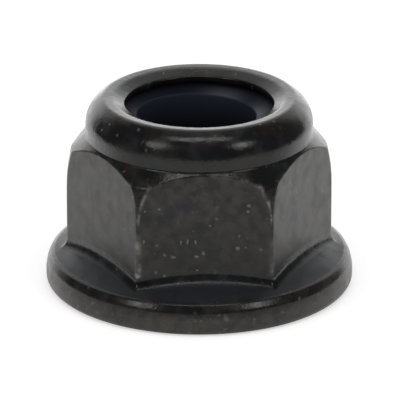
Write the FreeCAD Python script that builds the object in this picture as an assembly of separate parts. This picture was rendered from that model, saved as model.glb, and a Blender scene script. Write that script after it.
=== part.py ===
import FreeCAD, Part
import math
import os

os.makedirs("parts", exist_ok=True)

# Prevailing-torque flange lock nut, M8 x 1.25: a forged and turned steel nut whose thin
# collar is rolled in over a nylon ring. Millimetres, +Z up. The origin is the centre of
# the bearing face, and the thread axis is Z. One flat of the hexagon faces -Y.

# Overall
across_flats = 13.0
nut_height = 10.95

# Hexagon
corner_diameter = across_flats / math.cos(math.radians(30.0))
corner_rounding = 0.2
shoulder_setback = 0.3055
shoulder_chamfer_angle = 46.0
corner_fall_length = 2.75
hexagon_foot_fillet = 0.72
seam_angle = 15.0
shoulder_diameter = corner_diameter - 2.0 * shoulder_setback

# Flange
flange_overhang = 1.1595
flange_diameter = corner_diameter + 2.0 * flange_overhang
flange_foot_rounding = 0.57
flange_rim_height = 0.9
flange_rim_rounding = 1.0
flange_lean_height = 0.5
flange_lean_inset = 0.105
flange_lean_rounding = 0.8
flange_edge_height = 0.365
flange_edge_inset = 0.2
flange_edge_rounding = 0.22
flange_cone_angle = 22.0

# Collar, rolled in over the insert
collar_ledge = 0.115
collar_diameter = across_flats - 2.0 * collar_ledge
collar_height = 3.0
collar_roll_radius = 1.74
collar_foot_fillet = 0.2
shoulder_height = nut_height - collar_height
corner_fall_start = shoulder_height - corner_fall_length

# Thread: the bore is the minor diameter of M8 x 1.25
thread_wall = 3.1765
thread_minor_diameter = across_flats - 2.0 * thread_wall
bearing_countersink_margin = 0.9765
bearing_countersink_diameter = thread_minor_diameter + 2.0 * bearing_countersink_margin
bearing_countersink_angle = 45.0
pocket_countersink_depth = 0.45

# Rolled lip around the opening
lip_clearance = 0.8515
lip_opening_diameter = thread_minor_diameter + 2.0 * lip_clearance
lip_slope_run = 0.705
lip_crest_width = 0.32
lip_crest_inner_diameter = lip_opening_diameter + 2.0 * lip_slope_run
lip_crest_outer_diameter = lip_crest_inner_diameter + 2.0 * lip_crest_width
lip_crest_inner_rounding = 0.3
lip_crest_outer_rounding = 0.25
lip_outer_slope = 21.0
lip_crest_slope = 4.5
lip_inner_slope = 25.1
lip_nose_rounding = 0.12
lip_thickness_at_roll = 0.68
lip_thickness_at_nose = 0.74
lip_underside_height = nut_height - lip_thickness_at_nose

# Pocket under the rolled lip, shared by the collar and the insert
collar_wall = 0.885
pocket_diameter = collar_diameter - 2.0 * collar_wall
pocket_depth = 3.35
pocket_floor_height = nut_height - pocket_depth
pocket_roll_radius = 0.96

# Nylon insert
insert_bore_allowance = 0.053
insert_bore_diameter = thread_minor_diameter + insert_bore_allowance
insert_dip = 0.33
insert_bore_edge_rounding = 0.14


def point(radius, height):
    return FreeCAD.Vector(radius, 0.0, height)


def corner_setbacks(places, roundings):
    """How far each rounding reaches along its two sides, kept within both sides."""
    count = len(places)
    setbacks = []
    for index in range(count):
        to_before = places[index - 1] - places[index]
        to_after = places[(index + 1) % count] - places[index]
        half_angle = to_before.getAngle(to_after) / 2.0
        setbacks.append(roundings[index] / math.tan(half_angle))
    kept = list(setbacks)
    for index in range(count):
        following = (index + 1) % count
        side = (places[following] - places[index]).Length
        wanted = setbacks[index] + setbacks[following]
        if wanted > side:
            share = 0.999 * side / wanted
            kept[index] = min(kept[index], share * setbacks[index])
            kept[following] = min(kept[following], share * setbacks[following])
    return kept


def corner_arc(before, corner, after, setback):
    """The start, middle and end of the arc that rounds one corner."""
    to_before = (before - corner).normalize()
    to_after = (after - corner).normalize()
    half_angle = to_before.getAngle(to_after) / 2.0
    radius = setback * math.tan(half_angle)
    bisector = (to_before + to_after).normalize()
    nearest = radius / math.sin(half_angle) - radius
    return corner + to_before * setback, corner + bisector * nearest, corner + to_after * setback


def outline(corners):
    """A closed outline in the XZ plane from (radius, height, rounding) corners."""
    places = [point(corner[0], corner[1]) for corner in corners]
    setbacks = corner_setbacks(places, [corner[2] for corner in corners])
    edges = []
    ends = []
    for index, corner in enumerate(places):
        if setbacks[index] > 0.0:
            after = places[(index + 1) % len(places)]
            start, middle, end = corner_arc(places[index - 1], corner, after, setbacks[index])
            edges.append(Part.Arc(start, middle, end).toShape())
            ends.append((start, end))
        else:
            ends.append((corner, corner))
    for index in range(len(places)):
        leaving = ends[index - 1][1]
        arriving = ends[index][0]
        if (arriving - leaving).Length > 1e-6:
            edges.append(Part.makeLine(leaving, arriving))
    return Part.Wire(Part.__sortEdges__(edges))


def turned(wire):
    """The solid that an outline sweeps around the thread axis, its seam off the corners."""
    face = Part.Face(wire)
    face.rotate(FreeCAD.Vector(0, 0, 0), FreeCAD.Vector(0, 0, 1), seam_angle)
    return face.revolve(FreeCAD.Vector(0, 0, 0), FreeCAD.Vector(0, 0, 1), 360.0)


def flange_disc():
    """The round washer face: a rim that leans in to its top edge, then a shallow cone."""
    radius = flange_diameter / 2.0
    lean_radius = radius - flange_lean_inset
    lean_top = flange_rim_height + flange_lean_height
    edge_radius = lean_radius - flange_edge_inset
    edge_top = lean_top + flange_edge_height
    rise = edge_radius * math.tan(math.radians(flange_cone_angle))
    corners = [
        (0.0, 0.0, 0.0),
        (radius, 0.0, flange_foot_rounding),
        (radius, flange_rim_height, flange_rim_rounding),
        (lean_radius, lean_top, flange_lean_rounding),
        (edge_radius, edge_top, flange_edge_rounding),
        (0.0, edge_top + rise, 0.0),
    ]
    return turned(outline(corners))


def rounded_hexagon(height):
    """A hexagonal prism with rounded corners, standing on z = 0."""
    places = []
    for index in range(7):
        angle = math.radians(60.0 * index)
        x = corner_diameter / 2.0 * math.cos(angle)
        y = corner_diameter / 2.0 * math.sin(angle)
        places.append(FreeCAD.Vector(x, y, 0.0))
    prism = Part.Face(Part.makePolygon(places)).extrude(FreeCAD.Vector(0, 0, height))
    upright = [edge for edge in prism.Edges if edge.BoundBox.ZLength > 0.5 * height]
    return prism.makeFillet(corner_rounding, upright)


def shoulder_envelope():
    """The turned form that cuts the hexagon's top: corners that fall in, then a chamfer."""
    corner_distance = corner_diameter / 2.0
    shoulder_radius = shoulder_diameter / 2.0
    rise = shoulder_radius * math.tan(math.radians(shoulder_chamfer_angle))
    fall_start = point(corner_distance, corner_fall_start)
    fall_end = point(shoulder_radius, shoulder_height)
    fall_radius = (shoulder_setback ** 2 + corner_fall_length ** 2) / (2.0 * shoulder_setback)
    sweep = math.asin(corner_fall_length / fall_radius) / 2.0
    middle_radius = corner_distance - fall_radius * (1.0 - math.cos(sweep))
    middle_height = corner_fall_start + fall_radius * math.sin(sweep)
    edges = [
        Part.makeLine(point(0.0, 0.0), point(corner_distance, 0.0)),
        Part.makeLine(point(corner_distance, 0.0), fall_start),
        Part.Arc(fall_start, point(middle_radius, middle_height), fall_end).toShape(),
        Part.makeLine(fall_end, point(0.0, shoulder_height + rise)),
        Part.makeLine(point(0.0, shoulder_height + rise), point(0.0, 0.0)),
    ]
    return turned(Part.Wire(edges))


def hexagon_block():
    """The wrenching hexagon, ending inside the collar's wall."""
    wall_middle = (collar_diameter + pocket_diameter) / 4.0
    slope = math.tan(math.radians(shoulder_chamfer_angle))
    top = shoulder_height + (shoulder_diameter / 2.0 - wall_middle) * slope
    return rounded_hexagon(top).common(shoulder_envelope())


def collar():
    """The outside of the collar: upright, rolled in to a crest, then down to the lip's nose."""
    radius = collar_diameter / 2.0
    lip_radius = lip_opening_diameter / 2.0
    inner_crest_radius = lip_crest_inner_diameter / 2.0
    outer_crest_radius = lip_crest_outer_diameter / 2.0
    outer_slope = math.radians(lip_outer_slope)
    crest_slope = math.radians(lip_crest_slope)
    inner_slope = math.radians(lip_inner_slope)
    lean = math.cos((outer_slope - crest_slope) / 2.0)
    spread = math.cos((outer_slope + crest_slope) / 2.0)
    outer_crest = nut_height + lip_crest_outer_rounding * (lean / spread - 1.0)
    inner_crest = outer_crest - lip_crest_width * math.tan(crest_slope)
    roll_corner = outer_crest - (radius - outer_crest_radius) * math.tan(outer_slope)
    nose_corner = inner_crest - lip_slope_run * math.tan(inner_slope)
    foot = pocket_floor_height - collar_wall
    corners = [
        (0.0, foot, 0.0),
        (radius, foot, 0.0),
        (radius, roll_corner, collar_roll_radius),
        (outer_crest_radius, outer_crest, lip_crest_outer_rounding),
        (inner_crest_radius, inner_crest, lip_crest_inner_rounding),
        (lip_radius, nose_corner, lip_nose_rounding),
        (lip_radius, lip_underside_height, 0.0),
        (0.0, lip_underside_height, 0.0),
    ]
    return turned(outline(corners))


def pocket():
    """The room that the rolled collar leaves for the insert."""
    radius = pocket_diameter / 2.0
    roof_height = nut_height - lip_thickness_at_roll
    corners = [
        (0.0, pocket_floor_height, 0.0),
        (radius, pocket_floor_height, 0.0),
        (radius, roof_height, pocket_roll_radius),
        (lip_opening_diameter / 2.0, lip_underside_height, 0.0),
        (0.0, lip_underside_height, 0.0),
    ]
    return turned(outline(corners))


def thread_bore():
    """The bore at the thread's minor diameter, with a countersink at both ends."""
    radius = thread_minor_diameter / 2.0
    foot_radius = bearing_countersink_diameter / 2.0
    foot_slope = math.tan(math.radians(bearing_countersink_angle))
    foot_depth = (foot_radius - radius) / foot_slope
    corners = [
        (0.0, 0.0, 0.0),
        (foot_radius, 0.0, 0.0),
        (radius, foot_depth, 0.0),
        (radius, pocket_floor_height - pocket_countersink_depth, 0.0),
        (radius + pocket_countersink_depth, pocket_floor_height, 0.0),
        (0.0, pocket_floor_height, 0.0),
    ]
    return turned(outline(corners))


def hexagon_foot_edges(shape):
    """The edges where the hexagon's sides run out onto the flange's cone."""
    found = []
    for edge in shape.Edges:
        box = edge.BoundBox
        middle = edge.CenterOfMass
        reach = math.hypot(middle.x, middle.y)
        low_enough = box.ZMax < corner_fall_start
        high_enough = box.ZMin > flange_rim_height
        on_hexagon = across_flats / 4.0 < reach < corner_diameter / 2.0
        if low_enough and high_enough and on_hexagon:
            found.append(edge)
    return found


def collar_foot_edges(shape):
    """The circle where the collar rises out of the chamfer: the lowest one above the shoulder."""
    rings = []
    for edge in shape.Edges:
        height = edge.valueAt(edge.FirstParameter).z
        if edge.BoundBox.ZLength < 0.001 and height > shoulder_height + 0.01:
            rings.append((height, edge))
    lowest = min(height for height, edge in rings)
    return [edge for height, edge in rings if height < lowest + 0.001]


def nut_body():
    blank = flange_disc().fuse(hexagon_block()).fuse(collar()).removeSplitter()
    blank = blank.makeFillet(hexagon_foot_fillet, hexagon_foot_edges(blank))
    blank = blank.makeFillet(collar_foot_fillet, collar_foot_edges(blank))
    return blank.cut(pocket()).cut(thread_bore())


def nylon_insert():
    """The ring that fills the pocket; its top dips from the lip to the bore."""
    ring = pocket()
    lip_radius = lip_opening_diameter / 2.0
    bore_radius = insert_bore_diameter / 2.0
    dip_slope = insert_dip / (lip_radius - bore_radius)
    inner_radius = bore_radius / 2.0
    inner_height = lip_underside_height - (lip_radius - inner_radius) * dip_slope
    dip_corners = [
        (0.0, inner_height, 0.0),
        (inner_radius, inner_height, 0.0),
        (lip_radius, lip_underside_height, 0.0),
        (0.0, lip_underside_height, 0.0),
    ]
    ring = ring.cut(turned(outline(dip_corners)))
    ring = ring.cut(Part.makeCylinder(bore_radius, nut_height))
    bore_edges = []
    for edge in ring.Edges:
        place = edge.valueAt(edge.FirstParameter)
        on_bore = abs(math.hypot(place.x, place.y) - bore_radius) < 0.001
        if on_bore and edge.BoundBox.ZMin > pocket_floor_height + 0.1:
            bore_edges.append(edge)
    return ring.makeFillet(insert_bore_edge_rounding, bore_edges)


body = nut_body()
insert = nylon_insert()
body.exportStep("parts/nut_body.step")
insert.exportStep("parts/nylon_insert.step")
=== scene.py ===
import math

import bpy
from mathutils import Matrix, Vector


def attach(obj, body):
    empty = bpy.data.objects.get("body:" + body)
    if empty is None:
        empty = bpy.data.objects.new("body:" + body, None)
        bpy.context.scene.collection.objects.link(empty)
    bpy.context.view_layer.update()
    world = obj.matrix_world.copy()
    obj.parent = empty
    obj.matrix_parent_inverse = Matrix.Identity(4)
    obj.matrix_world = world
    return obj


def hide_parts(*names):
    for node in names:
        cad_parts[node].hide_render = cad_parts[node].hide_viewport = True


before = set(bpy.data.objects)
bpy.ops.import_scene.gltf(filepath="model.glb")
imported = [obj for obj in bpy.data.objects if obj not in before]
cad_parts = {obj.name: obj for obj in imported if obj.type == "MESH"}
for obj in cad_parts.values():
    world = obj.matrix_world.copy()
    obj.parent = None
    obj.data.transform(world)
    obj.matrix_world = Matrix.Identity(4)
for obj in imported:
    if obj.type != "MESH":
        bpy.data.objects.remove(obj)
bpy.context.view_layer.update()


# Nut body
# One piece of cold-forged steel: hexagon, flange and a thin collar that is rolled in over the
# nylon ring. The bore is tapped M8 x 1.25, and the semi-gloss coat of black zinc is rubbed
# bright on its edges. Sizes are in millimetres.
MILLIMETRE = 0.001

face_angle = math.radians(60.0)
half_face_angle = math.radians(30.0)
across_flats = 13.0
corner_rounding = 0.2
corner_distance = across_flats / 2.0 / math.cos(half_face_angle)
shoulder_radius = 7.2
shoulder_height = 7.95
chamfer_slope = math.tan(math.radians(46.0))
corner_fall_start = 5.2
corner_fall_setback = corner_distance - shoulder_radius
corner_fall_length = shoulder_height - corner_fall_start
corner_fall_radius = (corner_fall_setback ** 2 + corner_fall_length ** 2) / (2.0 * corner_fall_setback)
edge_softness = 0.06

flange_radius = 8.665
flange_foot_rounding = 0.48
flange_rim_height = 0.9
flange_rim_rounding = 1.0
flange_lean_radius = 8.56
flange_lean_height = 1.4
flange_lean_rounding = 0.8
flange_edge_radius = 8.36
flange_edge_height = 1.765
flange_edge_rounding = 0.22
flange_cone_angle = math.radians(22.0)
flange_slope = math.tan(flange_cone_angle)
flange_cone_start = 8.2
flange_cone_height = flange_edge_height + (flange_edge_radius - flange_cone_start) * flange_slope
hexagon_foot_fillet = 0.72

collar_radius = 6.385
collar_foot_height = shoulder_height + (shoulder_radius - collar_radius) * chamfer_slope
collar_foot_fillet = 0.2
chamfer_end_radius = 6.45
chamfer_end_height = shoulder_height + (shoulder_radius - chamfer_end_radius) * chamfer_slope
collar_roll_height = 10.38
collar_roll_radius = 1.74
crest_outer_radius = 5.39
crest_outer_height = 10.957
crest_outer_rounding = 0.44
crest_inner_radius = 4.84
crest_inner_height = 10.915
crest_inner_rounding = 0.8
lip_radius = 4.175
lip_nose_height = 10.6
lip_nose_rounding = 0.12
lip_underside_height = 10.21

pocket_radius = 5.5
pocket_roof_height = 10.27
pocket_roof_rounding = 0.96
pocket_floor = 7.6

thread_major_radius = 4.0
thread_minor_radius = 3.3235
thread_pitch = 1.25
thread_crest_flat = 0.25
thread_root_flat = 0.125
bottom_countersink_radius = 4.3
top_countersink_depth = 0.45


def soft_minimum(first, second, softness):
    """The smaller of two values, with the corner between them rounded inwards."""
    overlap = max(softness - abs(first - second), 0.0) / softness
    return min(first, second) - overlap * overlap * softness / 4.0


def smooth_step(low, high, value):
    """0 below low and 1 above high, with a smooth change between them."""
    share = min(max((value - low) / (high - low), 0.0), 1.0)
    return share * share * (3.0 - 2.0 * share)


def fade_out(low, high, value):
    """1 below low and 0 above high, with a smooth change between them."""
    return 1.0 - smooth_step(low, high, value)


def ridge(distance, width):
    """1 on a line, and almost 0 from two widths to either side of it."""
    return math.exp(-(distance / width) ** 2)


def rounded_profile(corners, steps):
    """Points along a line of (radius, height, rounding) corners, with each corner an arc."""
    points = [Vector((corners[0][0], corners[0][1]))]
    for index in range(1, len(corners) - 1):
        corner = Vector(corners[index][:2])
        before = (Vector(corners[index - 1][:2]) - corner).normalized()
        after = (Vector(corners[index + 1][:2]) - corner).normalized()
        rounding = corners[index][2]
        if rounding == 0.0:
            points.append(corner)
            continue
        half_angle = before.angle(after) / 2.0
        centre = corner + (before + after).normalized() * rounding / math.sin(half_angle)
        setback = rounding / math.tan(half_angle)
        start = corner + before * setback - centre
        end = corner + after * setback - centre
        sweep = start.angle_signed(end)
        for step in range(steps + 1):
            turn = -sweep * step / steps
            turned_x = start.x * math.cos(turn) - start.y * math.sin(turn)
            turned_y = start.x * math.sin(turn) + start.y * math.cos(turn)
            points.append(centre + Vector((turned_x, turned_y)))
    points.append(Vector((corners[-1][0], corners[-1][1])))
    return points


def spaced_out(points, longest):
    """The same line of points, with extra points so that no step is longer than that."""
    result = [points[0]]
    for before, after in zip(points, points[1:]):
        pieces = max(1, math.ceil((after - before).length / longest))
        for piece in range(1, pieces + 1):
            result.append(before.lerp(after, piece / pieces))
    return result


def angle_from_corner(angle):
    """How far an angle is from the nearest corner of the hexagon. One corner is on +X."""
    return abs((angle + half_face_angle) % face_angle - half_face_angle)


def hexagon_reach(angle):
    """How far the hexagon's wall is from the axis at an angle, in radians."""
    from_corner = angle_from_corner(angle)
    arc_centre = (across_flats / 2.0 - corner_rounding) / math.cos(half_face_angle)
    aside = arc_centre * math.sin(from_corner)
    flat = across_flats / 2.0 / math.cos(half_face_angle - from_corner)
    if aside < corner_rounding:
        arc = arc_centre * math.cos(from_corner) + math.sqrt(corner_rounding ** 2 - aside ** 2)
        arc_end = math.atan2(
            corner_rounding * math.sin(half_face_angle),
            arc_centre + corner_rounding * math.cos(half_face_angle),
        )
        if from_corner < arc_end:
            return arc
    return flat


def envelope_reach(height):
    """The turned form over the hexagon: clear of it low down, then corners that fall in, then
    the chamfer.
    """
    if height <= corner_fall_start:
        return corner_distance + 1.0
    above = min(height - corner_fall_start, corner_fall_length)
    fall = corner_distance - corner_fall_radius + math.sqrt(corner_fall_radius ** 2 - above ** 2)
    chamfer = shoulder_radius + (shoulder_height - height) / chamfer_slope
    return soft_minimum(fall, chamfer, edge_softness) if height > shoulder_height - 1.0 else fall


def crease_height(reach):
    """Where the hexagon's wall meets the turned form."""
    if reach < shoulder_radius:
        return shoulder_height + (shoulder_radius - reach) * chamfer_slope
    inward = corner_fall_radius - (corner_distance - reach)
    return corner_fall_start + math.sqrt(max(corner_fall_radius ** 2 - inward ** 2, 0.0))


def wall_heights(low, high, crease, rows):
    """Row heights up one side of the hexagon, closest together at its edges."""
    samples = 160
    weights = [0.0]
    # Rows gather at the crease, at the shoulder and at the collar's foot.
    for index in range(samples):
        height = low + (high - low) * (index + 0.5) / samples
        weight = 0.6 + 3.4 * ridge(height - crease, 0.12)
        weight += 2.2 * ridge(height - shoulder_height, 0.14)
        weight += 0.8 * ridge(height - high, 0.2)
        weights.append(weights[-1] + weight)
    heights = []
    index = 0
    for row in range(1, rows):
        wanted = weights[-1] * row / rows
        while weights[index + 1] < wanted:
            index += 1
        share = (wanted - weights[index]) / (weights[index + 1] - weights[index])
        heights.append(low + (high - low) * (index + share) / samples)
    return heights


def column_angles():
    """Angles around the body, closest together at the hexagon's corners."""
    steps = 25
    growth = 1.09
    widths = [growth ** step for step in range(steps)]
    scale = half_face_angle / sum(widths)
    half = [0.0]
    for width in widths:
        half.append(half[-1] + width * scale)
    angles = []
    for face in range(6):
        corner = math.radians(60.0 * face)
        angles += [corner + angle for angle in half[:-1]]
        angles += [corner + face_angle - angle for angle in reversed(half[1:])]
    return angles


# The bearing face, the foot, the rim and the flange's edge, as corners with their roundings.
foot_corners = [
    (bottom_countersink_radius, 0.0, 0.0),
    (flange_radius, 0.0, flange_foot_rounding),
    (flange_radius, flange_rim_height, flange_rim_rounding),
    (flange_lean_radius, flange_lean_height, flange_lean_rounding),
    (flange_edge_radius, flange_edge_height, flange_edge_rounding),
    (flange_cone_start, flange_cone_height, 0.0),
]
foot_profile = spaced_out(rounded_profile(foot_corners, steps=10), longest=0.6)

# The collar, its rolled lip, and the pocket that the ring lies in.
collar_corners = [
    (chamfer_end_radius, chamfer_end_height, 0.0),
    (collar_radius, collar_foot_height, collar_foot_fillet),
    (collar_radius, collar_roll_height, collar_roll_radius),
    (crest_outer_radius, crest_outer_height, crest_outer_rounding),
    (crest_inner_radius, crest_inner_height, crest_inner_rounding),
    (lip_radius, lip_nose_height, lip_nose_rounding),
    (lip_radius, lip_underside_height, 0.0),
    (pocket_radius, pocket_roof_height, pocket_roof_rounding),
    (pocket_radius, pocket_floor, 0.0),
    (thread_minor_radius + top_countersink_depth, pocket_floor, 0.0),
]
collar_profile = spaced_out(rounded_profile(collar_corners, steps=9), longest=0.35)

cone_rows = 12
fillet_rows = 8
wall_rows = 58

# How far the coat is rubbed off, anticlockwise from +X: on the arc of each half face, then on
# each of the six corners. The front face lies between corners 4 and 5, under arcs 8 and 9.
arc_wear = (0.5, 0.6, 0.3, 0.4, 0.6, 0.5, 0.2, 0.3, 0.7, 1.4, 0.2, 0.3)
corner_wear = (0.25, 0.2, 0.3, 0.2, 0.5, 0.15)
corner_foot_wear = (0.3, 0.2, 0.4, 0.2, 0.6, 0.15)
arc_wear_width = 0.08
corner_wear_width = 0.16
corner_foot_height = 2.9
corner_foot_length = 0.5


def edge_wear(angle, reach, height):
    """How far the coat is rubbed off the hexagon's edges: most beside the top of each corner."""
    half_face = int(math.degrees(angle) // 30.0) % 12
    corner = round(math.degrees(angle) / 60.0) % 6
    from_corner = angle_from_corner(angle)
    step = math.radians(0.2)
    rise = crease_height(hexagon_reach(angle + step)) - crease_height(hexagon_reach(angle - step))
    slope = rise / (2.0 * step * reach)
    from_arc = abs(height - crease_height(reach)) / math.sqrt(1.0 + slope * slope)
    near_corner = fade_out(math.radians(7.0), math.radians(14.0), from_corner)
    on_arc = ridge(from_arc, arc_wear_width) * (0.1 + 0.5 * near_corner) * arc_wear[half_face]
    on_corner = fade_out(corner_fall_start - 0.6, corner_fall_start + 0.4, height)
    on_corner *= ridge(from_corner * reach, corner_wear_width)
    near_foot = ridge(height - corner_foot_height, corner_foot_length)
    return max(on_arc, (corner_wear[corner] + corner_foot_wear[corner] * near_foot) * on_corner)


mark_names = ("worn_edge", "turned_finish", "flange_rim", "flange_top", "corner_painted_shade")


def marked(point, worn=0.0, turned=0.0, rim=0.0, top=0.0, painted_shade=0.0):
    """A point of the outline, with how far each mark of mark_names shows there."""
    return (point[0], point[1], worn, turned, rim, top, painted_shade)


def body_column(angle):
    """The outside of the body in one half-plane, from the bearing face to the pocket's floor."""
    reach = hexagon_reach(angle)
    cone_foot = flange_cone_height + (flange_cone_start - reach) * flange_slope
    sweep = math.radians(90.0) - flange_cone_angle
    setback = hexagon_foot_fillet * math.tan(sweep / 2.0)
    start_radius = reach + setback * math.cos(flange_cone_angle)
    column = []
    # The rim's dirt ends below the flange's edge. Along the foot it is made stronger, a painted
    # reflection of the bright floor there.
    for point in foot_profile:
        on_rim = smooth_step(8.0, 8.4, point.x) * fade_out(1.1, 1.4, point.y)
        dirt_and_reflection = on_rim * (1.0 + 0.8 * fade_out(0.15, 0.55, point.y))
        column.append(marked(point, turned=0.7 - 0.4 * on_rim, rim=dirt_and_reflection))
    for row in range(1, cone_rows + 1):
        radius = flange_cone_start + (start_radius - flange_cone_start) * row / cone_rows
        height = flange_cone_height + (flange_cone_start - radius) * flange_slope
        column.append(marked((radius, height), turned=0.3, top=1.0))
    # The fillet between the flange's top and the hexagon, with painted shade beside each corner.
    centre_radius = reach + hexagon_foot_fillet
    centre_height = cone_foot + setback
    painted_shade = fade_out(math.radians(3.0), math.radians(12.0), angle_from_corner(angle))
    for row in range(1, fillet_rows + 1):
        turn = math.pi + sweep * (1.0 - row / fillet_rows)
        radius = centre_radius + hexagon_foot_fillet * math.cos(turn)
        height = centre_height + hexagon_foot_fillet * math.sin(turn)
        on_top = max(0.0, 1.0 - 2.0 * row / fillet_rows)
        column.append(marked((radius, height), turned=0.8 - 0.5 * on_top, top=on_top, painted_shade=painted_shade))
    crease = crease_height(reach)
    for height in wall_heights(centre_height, chamfer_end_height, crease, wall_rows):
        radius = soft_minimum(reach, envelope_reach(height), edge_softness)
        worn = edge_wear(angle, reach, height)
        above_crease = smooth_step(crease - 0.05, crease + 0.05, height)
        # Painted shade also darkens the foot of the walls beside each corner.
        low_painted_shade = painted_shade * fade_out(centre_height - 0.1, centre_height + 0.35, height)
        column.append(marked((radius, height), worn=worn, turned=above_crease, painted_shade=low_painted_shade))
    column += [marked(point, turned=1.0) for point in collar_profile]
    return column


angles = column_angles()
columns = [body_column(angle) for angle in angles]
rows = len(columns[0])
body_points = []
surface_marks = []
for angle, column in zip(angles, columns):
    for radius, height, *marks in column:
        body_points.append((radius * math.cos(angle), radius * math.sin(angle), height))
        surface_marks.append(marks)
body_faces = []
for index in range(len(angles)):
    following = (index + 1) % len(angles)
    for row in range(rows - 1):
        first = index * rows + row
        second = following * rows + row
        body_faces.append((first, second, second + 1, first + 1))

thread_columns = 120
thread_rows = 150


def thread_radius(angle, height):
    """The tapped bore, opened by a countersink at both ends. Flats are shares of the pitch."""
    place = (height / thread_pitch - angle / (2.0 * math.pi)) % 1.0
    from_crest = abs(place - 0.5)
    flank_foot = 0.5 - thread_root_flat / 2.0
    flank = flank_foot - thread_crest_flat / 2.0
    depth = min(max((flank_foot - from_crest) / flank, 0.0), 1.0)
    radius = thread_major_radius - (thread_major_radius - thread_minor_radius) * depth
    bottom = bottom_countersink_radius - height
    top = thread_minor_radius + height - (pocket_floor - top_countersink_depth)
    return max(radius, bottom, top)


thread_start = len(body_points)
for index in range(thread_columns):
    angle = 2.0 * math.pi * index / thread_columns
    for row in range(thread_rows + 1):
        height = pocket_floor * row / thread_rows
        radius = thread_radius(angle, height)
        body_points.append((radius * math.cos(angle), radius * math.sin(angle), height))
        surface_marks.append(marked((radius, height), turned=1.0)[2:])
for index in range(thread_columns):
    following = (index + 1) % thread_columns
    for row in range(thread_rows):
        first = thread_start + index * (thread_rows + 1) + row
        second = thread_start + following * (thread_rows + 1) + row
        body_faces.append((first, first + 1, second + 1, second))


def add_marks(mesh, names, values_by_name):
    """Keep one number per point and name on the mesh, for the material to read."""
    for name, values in zip(names, values_by_name):
        attribute = mesh.attributes.new(name, "FLOAT", "POINT")
        attribute.data.foreach_set("value", values)


body_mesh = bpy.data.meshes.new("nut_body_looks")
body_mesh.from_pydata([Vector(point) * MILLIMETRE for point in body_points], [], body_faces)
body_mesh.polygons.foreach_set("use_smooth", [True] * len(body_mesh.polygons))
add_marks(body_mesh, mark_names, zip(*surface_marks))
body = bpy.data.objects.new("body_with_worn_edges", body_mesh)
bpy.context.collection.objects.link(body)

# Rust marks and nicks in the front face: (across, height, half width, half height).
rust_marks = [
    (0.77, 6.2, 0.42, 0.45),
    (-2.79, 6.5, 0.25, 0.38),
]
nicks = [
    (-1.31, 4.77, 0.06, 0.14),
    (-0.95, 4.82, 0.05, 0.15),
    (-0.51, 4.80, 0.06, 0.15),
    (-1.72, 3.90, 0.09, 0.07),
    (-0.47, 3.93, 0.13, 0.07),
    (-0.08, 4.12, 0.08, 0.12),
    (1.82, 4.37, 0.12, 0.12),
    (2.42, 6.88, 0.10, 0.10),
    (2.37, 6.53, 0.08, 0.08),
    (-2.52, 6.77, 0.08, 0.07),
    (-3.30, 6.64, 0.07, 0.07),
    (-3.36, 4.87, 0.06, 0.10),
    (-0.43, 3.11, 0.07, 0.06),
    (0.28, 5.74, 0.06, 0.05),
]

fresh_black = (0.004, 0.0042, 0.0046)
faded_black = (0.012, 0.0113, 0.0102)
rust_brown = (0.026, 0.014, 0.01)
cold_blue = (0.006, 0.009, 0.016)
flange_top_blue = (0.005, 0.0075, 0.013)
painted_shade_black = (0.002, 0.002, 0.0022)
dust_and_shade_grey = (0.064, 0.057, 0.048)
speck_grey = (0.15, 0.132, 0.112)
rim_brown = (0.042, 0.036, 0.03)
fleck_and_reflection_grey = (0.11, 0.1, 0.086)
bare_steel = (0.36, 0.34, 0.31)
relief_depth = 0.006 * MILLIMETRE

steel = bpy.data.materials.new("black_zinc_on_steel")
steel.use_nodes = True
nodes = steel.node_tree.nodes
links = steel.node_tree.links
shader = nodes["Principled BSDF"]


# Each of these functions adds a node to the node tree in hand. A number or a colour is set on
# the node's own socket, and anything else is linked to it.
def node_math(operation, first, second=None, third=None, clamp=False):
    node = nodes.new("ShaderNodeMath")
    node.operation = operation
    node.use_clamp = clamp
    for socket, value in zip(node.inputs, (first, second, third)):
        if isinstance(value, float):
            socket.default_value = value
        elif value is not None:
            links.new(value, socket)
    return node.outputs["Value"]


def node_vector(operation, first, second=None, output="Vector"):
    node = nodes.new("ShaderNodeVectorMath")
    node.operation = operation
    for socket, value in zip(node.inputs, (first, second)):
        if isinstance(value, tuple):
            socket.default_value = value
        elif value is not None:
            links.new(value, socket)
    return node.outputs[output]


def node_range(value, low, high, from_value=0.0, to_value=1.0):
    """Smooth change between two values while the input goes from low to high."""
    node = nodes.new("ShaderNodeMapRange")
    node.interpolation_type = "SMOOTHSTEP"
    node.inputs["From Min"].default_value = low
    node.inputs["From Max"].default_value = high
    node.inputs["To Min"].default_value = from_value
    node.inputs["To Max"].default_value = to_value
    links.new(value, node.inputs["Value"])
    return node.outputs["Result"]


def node_mix(mask, first, second):
    """The first colour where the mask is 0, and the second where it is 1."""
    node = nodes.new("ShaderNodeMix")
    node.data_type = "RGBA"
    links.new(mask, node.inputs["Factor"])
    for socket, value in ((node.inputs["A"], first), (node.inputs["B"], second)):
        if isinstance(value, tuple):
            socket.default_value = (*value, 1.0)
        else:
            links.new(value, socket)
    return node.outputs["Result"]


def mesh_value(name):
    """One of the marks kept on the mesh."""
    node = nodes.new("ShaderNodeAttribute")
    node.attribute_name = name
    return node.outputs["Fac"]


place = nodes.new("ShaderNodeTexCoord").outputs["Object"]
millimetres = node_vector("MULTIPLY", place, (1.0 / MILLIMETRE,) * 3)


def steel_noise(scale, detail, offset):
    """Cloudy variation. The scale is in features per millimetre."""
    node = nodes.new("ShaderNodeTexNoise")
    node.inputs["Scale"].default_value = scale
    node.inputs["Detail"].default_value = detail
    links.new(node_vector("ADD", millimetres, offset), node.inputs["Vector"])
    return node.outputs["Fac"]


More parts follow.
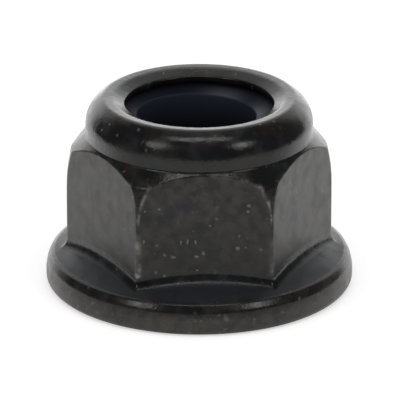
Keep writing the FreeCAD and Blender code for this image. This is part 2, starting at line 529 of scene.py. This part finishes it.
def nearest_mark(marks):
    """Distance to the nearest mark on the front face, in half widths of that mark."""
    nearest = None
    for across, height, half_width, half_height in marks:
        centre = (across, -across_flats / 2.0, height)
        stretch = (1.0 / half_width, 4.0, 1.0 / half_height)
        apart = node_vector("SUBTRACT", millimetres, centre)
        stretched = node_vector("MULTIPLY", apart, stretch)
        length = node_vector("LENGTH", stretched, output="Value")
        nearest = length if nearest is None else node_math("MINIMUM", nearest, length)
    return nearest


turned = mesh_value("turned_finish")
forged = node_math("SUBTRACT", 1.0, turned)
flange_rim = mesh_value("flange_rim")
flange_top = mesh_value("flange_top")

# Uneven black, with a little brown and blue in it.
blotches = node_range(steel_noise(0.9, 5.0, (3.1, 0.0, 0.0)), 0.42, 0.66)
blue_tint = node_range(steel_noise(0.7, 3.0, (0.0, 0.0, 5.9)), 0.52, 0.7)
rust_tint = node_range(steel_noise(0.55, 4.0, (0.0, 7.3, 0.0)), 0.5, 0.68)
rust_spots = node_range(nearest_mark(rust_marks), 0.2, 1.2, 1.0, 0.0)
rust_tint = node_math("MAXIMUM", node_math("MULTIPLY", rust_tint, 0.6), rust_spots)

# Dust on the forged faces, thin on the flange's top. It grows towards the faces' tops, so their
# lower parts are darker: painted shade, where they reflect the floor shaded by the nut.
height_up = nodes.new("ShaderNodeSeparateXYZ")
links.new(millimetres, height_up.inputs["Vector"])
dust_and_painted_shade = node_range(steel_noise(1.5, 6.0, (0.0, 3.3, 8.1)), 0.34, 0.68)
dust_and_painted_shade = node_math("MULTIPLY", dust_and_painted_shade, node_range(height_up.outputs["Z"], 1.5, 8.0, 0.6, 1.35))
dust_share = node_math("MULTIPLY_ADD", forged, 0.3, 0.01)
top_share = node_math("MULTIPLY", flange_top, 0.19)
dust_share = node_math("SUBTRACT", dust_share, top_share, clamp=True)
dust_and_painted_shade = node_math("MULTIPLY", dust_and_painted_shade, dust_share)

# Light specks in loose clusters: a few of the cells of a stirred pattern have a dot.
stirred = nodes.new("ShaderNodeTexNoise")
stirred.inputs["Scale"].default_value = 5.0
links.new(millimetres, stirred.inputs["Vector"])
stir = node_vector("MULTIPLY", stirred.outputs["Color"], (0.3, 0.3, 0.3))
speckle = nodes.new("ShaderNodeTexVoronoi")
speckle.inputs["Scale"].default_value = 2.4
links.new(node_vector("ADD", millimetres, stir), speckle.inputs["Vector"])
speck_pick = nodes.new("ShaderNodeSeparateColor")
links.new(speckle.outputs["Color"], speck_pick.inputs["Color"])
speck_dot = node_range(speckle.outputs["Distance"], 0.0, 0.32, 1.0, 0.0)
speck_rare = node_range(speck_pick.outputs["Red"], 0.62, 0.92)
speck_cluster = node_range(steel_noise(0.5, 2.0, (9.1, 0.0, 2.0)), 0.4, 0.58, 0.15, 1.0)
specks = node_math("MULTIPLY", node_math("MULTIPLY", speck_dot, speck_rare), speck_cluster)
specks = node_math("MULTIPLY", specks, node_math("SUBTRACT", 1.0, flange_top))

# Brown dirt on the rim, with lighter flecks, both stronger along the foot as a painted reflection
# of the floor.
rim_dirt_and_reflection = node_range(steel_noise(1.5, 5.0, (2.0, 0.0, 4.4)), 0.32, 0.62, 0.25, 1.0)
rim_dirt_and_reflection = node_math("MULTIPLY", flange_rim, rim_dirt_and_reflection)
rim_flecks_and_reflection = node_range(steel_noise(2.6, 3.0, (6.0, 1.0, 0.0)), 0.6, 0.74)
rim_flecks_and_reflection = node_math("MULTIPLY", rim_flecks_and_reflection, flange_rim)

# Bare steel, broken up along the worn edges and faint in the nicks.
ragged = node_math("MULTIPLY_ADD", steel_noise(9.0, 2.0, (0.0, 0.4, 0.0)), 2.2, -1.1)
nick_edge = node_math("ADD", nearest_mark(nicks), ragged)
nick_bright = node_range(nick_edge, 0.6, 1.25, 1.0, 0.0)
wear_break = node_range(steel_noise(1.9, 5.0, (0.0, 2.2, 0.0)), 0.38, 0.66, 0.1, 1.0)
worn = node_math("MULTIPLY", mesh_value("worn_edge"), wear_break)
bare = node_math("MAXIMUM", worn, node_math("MULTIPLY", nick_bright, 0.3), clamp=True)

# The layers of the finish from the lowest up, each with its mask, strength and colour.
coat_layers = (
    (rust_tint, 0.5, rust_brown),
    (blue_tint, 0.35, cold_blue),
    (flange_top, 0.7, flange_top_blue),
    # Painted shade in the fillets and on the walls beside the hexagon's corners.
    (mesh_value("corner_painted_shade"), 1.0, painted_shade_black),
    # Dust, with painted shade where it thins low on the faces.
    (dust_and_painted_shade, 1.0, dust_and_shade_grey),
    (specks, 0.85, speck_grey),
    # The rim's dirt and flecks also carry a painted reflection of the floor along the foot.
    (rim_dirt_and_reflection, 1.0, rim_brown),
    (rim_flecks_and_reflection, 0.7, fleck_and_reflection_grey),
    (bare, 1.0, bare_steel),
)
coat = node_mix(blotches, fresh_black, faded_black)
for mask, strength, colour in coat_layers:
    coat = node_mix(node_math("MULTIPLY", mask, strength), coat, colour)
links.new(coat, shader.inputs["Base Color"])
links.new(node_math("MULTIPLY", bare, 0.7), shader.inputs["Metallic"])

# The turned collar is the smoothest, and the flange's top the roughest.
roughness = node_math("MULTIPLY_ADD", forged, 0.14, 0.17)
for mask, added in ((blotches, 0.1), (flange_top, 0.16), (bare, 0.1)):
    roughness = node_math("MULTIPLY_ADD", mask, added, roughness)
links.new(roughness, shader.inputs["Roughness"])

# Fine grain everywhere, dents in the nicks, and pits and waves on the turned surfaces.
grain = steel_noise(11.0, 2.0, (1.7, 2.9, 0.0))
pits = node_math("MULTIPLY", steel_noise(7.0, 3.0, (0.0, 8.0, 1.0)), turned)
waves = node_math("MULTIPLY", steel_noise(1.7, 3.0, (5.0, 0.0, 1.0)), turned)
relief = node_math("MULTIPLY", grain, node_math("MULTIPLY_ADD", forged, 0.5, 0.5))
for mask, depth in ((nick_bright, -0.8), (pits, 1.8), (waves, 2.3)):
    relief = node_math("MULTIPLY_ADD", mask, depth, relief)
bump = nodes.new("ShaderNodeBump")
bump.inputs["Strength"].default_value = 1.0
bump.inputs["Distance"].default_value = relief_depth
links.new(relief, bump.inputs["Height"])
links.new(bump.outputs["Normal"], shader.inputs["Normal"])
body_mesh.materials.append(steel)

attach(body, "root")
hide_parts("nut_body")


# Nylon ring
# A turned ring of dark blue nylon that is pressed into the collar before its lip is rolled
# over. Its plain bore is narrower than the bolt, and stands a little off the nut's axis.
ring_gap = 0.01
ring_bore_radius = 3.34
ring_bore_offset = -0.15
ring_edge_rounding = 0.14
ring_dip = 0.33
ring_lip_rounding = 0.5
ring_middle_radius = 4.7
ring_middle_height = lip_underside_height + 0.01
ring_shoulder_height = pocket_roof_height - 0.03
ring_shoulder_rounding = 0.9
ring_bottom = pocket_floor + ring_gap
ring_outside = pocket_radius - ring_gap
ring_columns = 144

ring_blue = (0.0028, 0.0033, 0.0068)
bore_blue = (0.018, 0.022, 0.033)
rubbed_and_highlight_blue = (0.2, 0.212, 0.24)


def ring_column(angle):
    """One half-plane of the ring, from the foot of its bore over the top to its outside."""
    aside = ring_bore_offset * math.cos(angle)
    bore = aside + math.sqrt(ring_bore_radius ** 2 - (ring_bore_offset * math.sin(angle)) ** 2)
    dip_slope = ring_dip / (lip_radius - ring_bore_radius)
    edge_height = lip_underside_height - (lip_radius - bore) * dip_slope - ring_gap
    corners = [
        (bore, ring_bottom, 0.0),
        (bore, edge_height, ring_edge_rounding),
        (lip_radius, lip_underside_height - ring_gap, ring_lip_rounding),
        (ring_middle_radius, ring_middle_height, 0.0),
        (ring_outside, ring_shoulder_height, ring_shoulder_rounding),
        (ring_outside, ring_bottom, 0.0),
        (bore, ring_bottom, 0.0),
    ]
    return rounded_profile(corners, steps=6)[:-1]


ring_angles = [2.0 * math.pi * index / ring_columns for index in range(ring_columns)]
ring_rows = len(ring_column(0.0))
ring_points = []
for angle in ring_angles:
    for radius, height in ring_column(angle):
        ring_points.append((radius * math.cos(angle), radius * math.sin(angle), height))
ring_faces = []
for index in range(ring_columns):
    following = (index + 1) % ring_columns
    for row in range(ring_rows):
        next_row = (row + 1) % ring_rows
        ring_faces.append((
            index * ring_rows + row,
            index * ring_rows + next_row,
            following * ring_rows + next_row,
            following * ring_rows + row,
        ))

# The wall of the bore, and where the ring's top is lightened: rubbed broadly on its right, and a
# painted highlight along the bore's edge on its left and far right. Azimuths are in degrees.
in_bore = []
rubbed_and_highlight = []
for x, y, height in ring_points:
    azimuth = math.degrees(math.atan2(y, x))
    from_bore = math.hypot(x - ring_bore_offset, y) - ring_bore_radius
    in_bore.append(fade_out(0.02, 0.12, from_bore))
    on_top = smooth_step(9.7, 9.85, height)
    edge = ridge(from_bore - 0.1, 0.09) * on_top
    broad_edge = ridge(from_bore - 0.25, 0.28) * on_top
    right_side = ridge(azimuth + 4.0, 22.0)
    left_side = ridge(abs(azimuth) - 180.0, 18.0)
    far_right = ridge(azimuth - 62.0, 20.0)
    # Painted highlights on the rounding of the bore's edge, on the left and far right.
    edge_highlights = edge * (0.12 * left_side + 0.2 * far_right)
    rubbed_and_highlight.append(min(1.0, 0.6 * broad_edge * right_side + edge_highlights))

ring_mesh = bpy.data.meshes.new("nylon_ring_looks")
ring_mesh.from_pydata([Vector(point) * MILLIMETRE for point in ring_points], [], ring_faces)
ring_mesh.validate()
ring_mesh.polygons.foreach_set("use_smooth", [True] * len(ring_mesh.polygons))
add_marks(ring_mesh, ("in_bore", "rubbed_and_highlight"), (in_bore, rubbed_and_highlight))
ring = bpy.data.objects.new("nylon_ring", ring_mesh)
bpy.context.collection.objects.link(ring)

nylon = bpy.data.materials.new("dark_blue_nylon")
nylon.use_nodes = True
nodes = nylon.node_tree.nodes
links = nylon.node_tree.links
shader = nodes["Principled BSDF"]
shader.inputs["Roughness"].default_value = 0.55
shader.inputs["Specular IOR Level"].default_value = 0.03
nylon_colour = node_mix(mesh_value("in_bore"), ring_blue, bore_blue)
# Rubbed nylon on the right, and painted highlights along the bore's edge.
nylon_colour = node_mix(mesh_value("rubbed_and_highlight"), nylon_colour, rubbed_and_highlight_blue)
links.new(nylon_colour, shader.inputs["Base Color"])
ring_mesh.materials.append(nylon)

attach(ring, "root")
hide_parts("nylon_insert")


# Floor
# A plain white board just under the nut, which carries its shadow and shows white to the camera.
# In reflections it is dark just in front of the nut and light behind it. From below it is clear,
# so that the bearing face can be seen. Sizes are in metres.
floor_size = 0.1
floor_drop = 0.00001
floor_grey = 0.65
floor_glow = 0.52

half_size = floor_size / 2.0
floor_corners = [
    (-half_size, -half_size, 0.0),
    (half_size, -half_size, 0.0),
    (half_size, half_size, 0.0),
    (-half_size, half_size, 0.0),
]
floor_mesh = bpy.data.meshes.new("floor_board")
floor_mesh.from_pydata(floor_corners, [], [(0, 1, 2, 3)])
floor = bpy.data.objects.new("floor_board", floor_mesh)
floor.location.z = -floor_drop
bpy.context.collection.objects.link(floor)

floor_paint = bpy.data.materials.new("white_board")
floor_paint.use_nodes = True
nodes = floor_paint.node_tree.nodes
links = floor_paint.node_tree.links
shader = nodes["Principled BSDF"]
shader.inputs["Base Color"].default_value = (floor_grey, floor_grey, floor_grey, 1.0)
shader.inputs["Roughness"].default_value = 0.9
shader.inputs["Specular IOR Level"].default_value = 0.0
shader.inputs["Emission Color"].default_value = (1.0, 1.0, 1.0, 1.0)

floor_place = nodes.new("ShaderNodeSeparateXYZ")
links.new(nodes.new("ShaderNodeTexCoord").outputs["Object"], floor_place.inputs["Vector"])
towards_back = node_range(floor_place.outputs["Y"], -0.014, 0.01, 0.06, 0.68)
towards_front = node_range(floor_place.outputs["Y"], -0.036, -0.011, 0.14, 0.0)
reflected_level = node_math("ADD", towards_back, towards_front)
rays = nodes.new("ShaderNodeLightPath").outputs
reflected = node_math("MULTIPLY", reflected_level, rays["Is Glossy Ray"])
seen = node_math("MAXIMUM", rays["Is Camera Ray"], rays["Is Transmission Ray"])
glow = node_math("MULTIPLY_ADD", seen, floor_glow, reflected)
links.new(glow, shader.inputs["Emission Strength"])

see_through = nodes.new("ShaderNodeMixShader")
links.new(nodes.new("ShaderNodeNewGeometry").outputs["Backfacing"], see_through.inputs[0])
links.new(shader.outputs["BSDF"], see_through.inputs[1])
links.new(nodes.new("ShaderNodeBsdfTransparent").outputs["BSDF"], see_through.inputs[2])
links.new(see_through.outputs["Shader"], nodes["Material Output"].inputs["Surface"])
floor_mesh.materials.append(floor_paint)


# Studio
# Even light on plain surfaces, and in reflections a white backdrop behind the nut, brightest
# low down and in its middle, with a light patch over it and a dark room around. Two small lamps
# stand beside the camera, and a strip hangs above it. Angles are in degrees.
backdrop_azimuth = 87.3
backdrop_level = 0.66
low_backdrop_level = 0.9
backdrop_middle_level = 0.38
overhead_elevation = 80.0
overhead_level = 0.35
room_level = 0.085
plain_level = 0.75

world = bpy.data.worlds.new("studio")
bpy.context.scene.world = world
world.use_nodes = True
nodes = world.node_tree.nodes
links = world.node_tree.links
nodes.clear()


def cosine(degrees):
    return math.cos(math.radians(degrees))


def sine(degrees):
    return math.sin(math.radians(degrees))


def direction(azimuth, elevation):
    flat = cosine(elevation)
    return Vector((flat * cosine(azimuth), flat * sine(azimuth), sine(elevation)))


outwards = nodes.new("ShaderNodeTexCoord").outputs["Generated"]
parts = nodes.new("ShaderNodeSeparateXYZ")
links.new(outwards, parts.inputs["Vector"])
upwards = parts.outputs["Z"]
along_x = node_math("MULTIPLY", parts.outputs["X"], cosine(backdrop_azimuth))
along_y = node_math("MULTIPLY", parts.outputs["Y"], sine(backdrop_azimuth))
towards_backdrop = node_math("ADD", along_x, along_y)
flat_squared = node_math("SUBTRACT", 1.0, node_math("MULTIPLY", upwards, upwards))
flat_length = node_math("SQRT", node_math("MAXIMUM", flat_squared, 0.0001))
facing = node_math("DIVIDE", towards_backdrop, flat_length)


def beside_middle(outer, inner):
    """0 further than the outer angle from the backdrop's middle, and 1 within the inner one."""
    return node_range(facing, cosine(outer), cosine(inner))


def low_down(low, high):
    """1 below the low elevation, and 0 above the high one."""
    return node_math("SUBTRACT", 1.0, node_range(upwards, sine(low), sine(high)))


backdrop = node_math("MULTIPLY", beside_middle(56.0, 34.0), low_down(58.0, 80.0))
low_backdrop = node_math("MULTIPLY", backdrop, low_down(14.0, 34.0))
backdrop_middle = node_math("MULTIPLY", backdrop, beside_middle(22.0, 6.0))
overhead_direction = tuple(direction(backdrop_azimuth, overhead_elevation))
overhead = node_vector("DOT_PRODUCT", outwards, overhead_direction, output="Value")
overhead = node_range(overhead, cosine(24.0), cosine(10.0))
pattern = node_math("MULTIPLY_ADD", backdrop, backdrop_level, room_level)
pattern = node_math("MULTIPLY_ADD", low_backdrop, low_backdrop_level, pattern)
pattern = node_math("MULTIPLY_ADD", backdrop_middle, backdrop_middle_level, pattern)
pattern = node_math("MULTIPLY_ADD", overhead, overhead_level, pattern)

plain_part = nodes.new("ShaderNodeBackground")
plain_part.inputs["Strength"].default_value = plain_level
glossy_part = nodes.new("ShaderNodeBackground")
links.new(pattern, glossy_part.inputs["Strength"])
camera_part = nodes.new("ShaderNodeBackground")
for part in (plain_part, glossy_part, camera_part):
    part.inputs["Color"].default_value = (1.0, 1.0, 1.0, 1.0)
rays = nodes.new("ShaderNodeLightPath").outputs
seen = node_math("ADD", rays["Is Camera Ray"], rays["Is Transmission Ray"], clamp=True)
gloss_mix = nodes.new("ShaderNodeMixShader")
links.new(rays["Is Glossy Ray"], gloss_mix.inputs[0])
links.new(plain_part.outputs["Background"], gloss_mix.inputs[1])
links.new(glossy_part.outputs["Background"], gloss_mix.inputs[2])
camera_mix = nodes.new("ShaderNodeMixShader")
links.new(seen, camera_mix.inputs[0])
links.new(gloss_mix.outputs["Shader"], camera_mix.inputs[1])
links.new(camera_part.outputs["Background"], camera_mix.inputs[2])
output = nodes.new("ShaderNodeOutputWorld")
links.new(camera_mix.outputs["Shader"], output.inputs["Surface"])

view_azimuth = -92.7
view_elevation = 21.4
middle = Vector((0.0, 0.0, 0.00525))
lamp_distance = 0.25
side_lamp_angle = 47.0


def lamp(name, azimuth, elevation, width, height, radiance):
    """A soft rectangular lamp. Its width and height are angles as seen from the nut."""
    light = bpy.data.lights.new(name, "AREA")
    light.shape = "RECTANGLE"
    light.size = 2.0 * lamp_distance * math.tan(math.radians(width / 2.0))
    light.size_y = 2.0 * lamp_distance * math.tan(math.radians(height / 2.0))
    light.energy = radiance * math.pi * light.size * light.size_y
    holder = bpy.data.objects.new(name, light)
    bpy.context.collection.objects.link(holder)
    holder.location = middle + direction(azimuth, elevation) * lamp_distance
    holder.rotation_euler = direction(azimuth, elevation).to_track_quat("Z", "Y").to_euler()


lamp("left_lamp", view_azimuth - side_lamp_angle, 32.0, 12.0, 15.0, radiance=4.4)
lamp("right_lamp", view_azimuth + side_lamp_angle, 32.0, 12.0, 15.0, radiance=4.4)
lamp("overhead_strip", view_azimuth, 68.0, 40.0, 7.0, radiance=4.5)


# Camera
# A long lens that looks down on the nut a little, as in the photograph, and is aimed a little
# below its middle. Lengths are in metres, apart from the lens and the sensor.
view_distance = 0.27
aim_right = 0.0000394
aim_down = 0.0004958

camera_data = bpy.data.cameras.new("camera")
camera_data.lens = 431.3
camera_data.sensor_width = 36.0
camera_data.clip_start = 0.01
camera_data.clip_end = 10.0
camera = bpy.data.objects.new("camera", camera_data)
bpy.context.collection.objects.link(camera)
outward = direction(view_azimuth, view_elevation)
right = Vector((-sine(view_azimuth), cosine(view_azimuth), 0.0))
upward = outward.cross(right)
aim = middle + right * aim_right - upward * aim_down
camera.location = middle + outward * view_distance
camera.rotation_euler = (camera.location - aim).to_track_quat("Z", "Y").to_euler()
bpy.context.scene.camera = camera

bpy.context.scene.view_settings.view_transform = "Standard"
